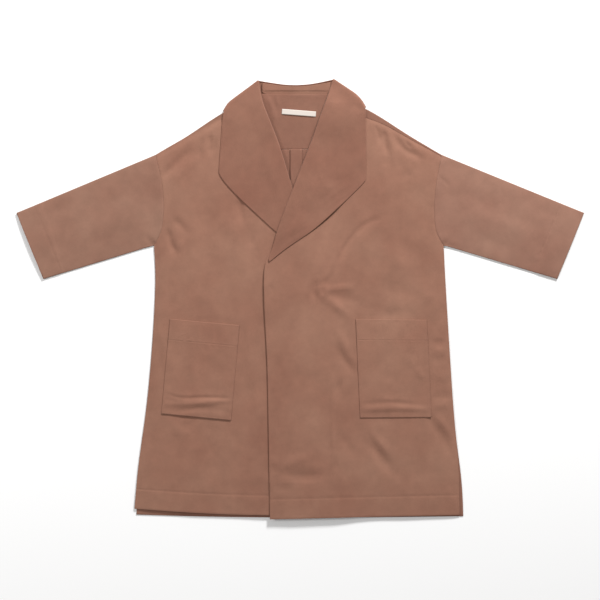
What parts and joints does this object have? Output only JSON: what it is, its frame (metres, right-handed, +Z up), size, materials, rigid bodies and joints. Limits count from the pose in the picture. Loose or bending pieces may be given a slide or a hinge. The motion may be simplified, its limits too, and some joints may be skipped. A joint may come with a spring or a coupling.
{
  "type": "kimono coat laid flat",
  "caption": "Three-quarter-sleeve wrap coat laid flat on its back, with a wide turned-down collar, patch pockets and a pleated back.",
  "frame": {"origin": "centre of the bounding box, on the surface that the coat lies on", "axes": "+Z up off that surface, +Y towards the collar, +X towards the wearer's left sleeve"},
  "size_m": [1.248, 0.9672, 0.0144],
  "materials": {
    "coat_cloth": "matte, softly brushed twill in dusty rose brown",
    "label_tape": "matte woven tape",
    "snap_metal": "satin"
  },
  "bodies": {
    "root": {"back_panel": "coat_cloth", "back_yoke": "coat_cloth", "collar_stand": "coat_cloth", "collar": "coat_cloth", "front_right": "coat_cloth", "front_left": "coat_cloth", "sleeve_right": "coat_cloth", "sleeve_left": "coat_cloth", "pocket_right": "coat_cloth", "pocket_left": "coat_cloth", "neck_label": "label_tape", "snap_outer": "snap_metal", "snap_inner": "snap_metal"}
  },
  "joints": []
}
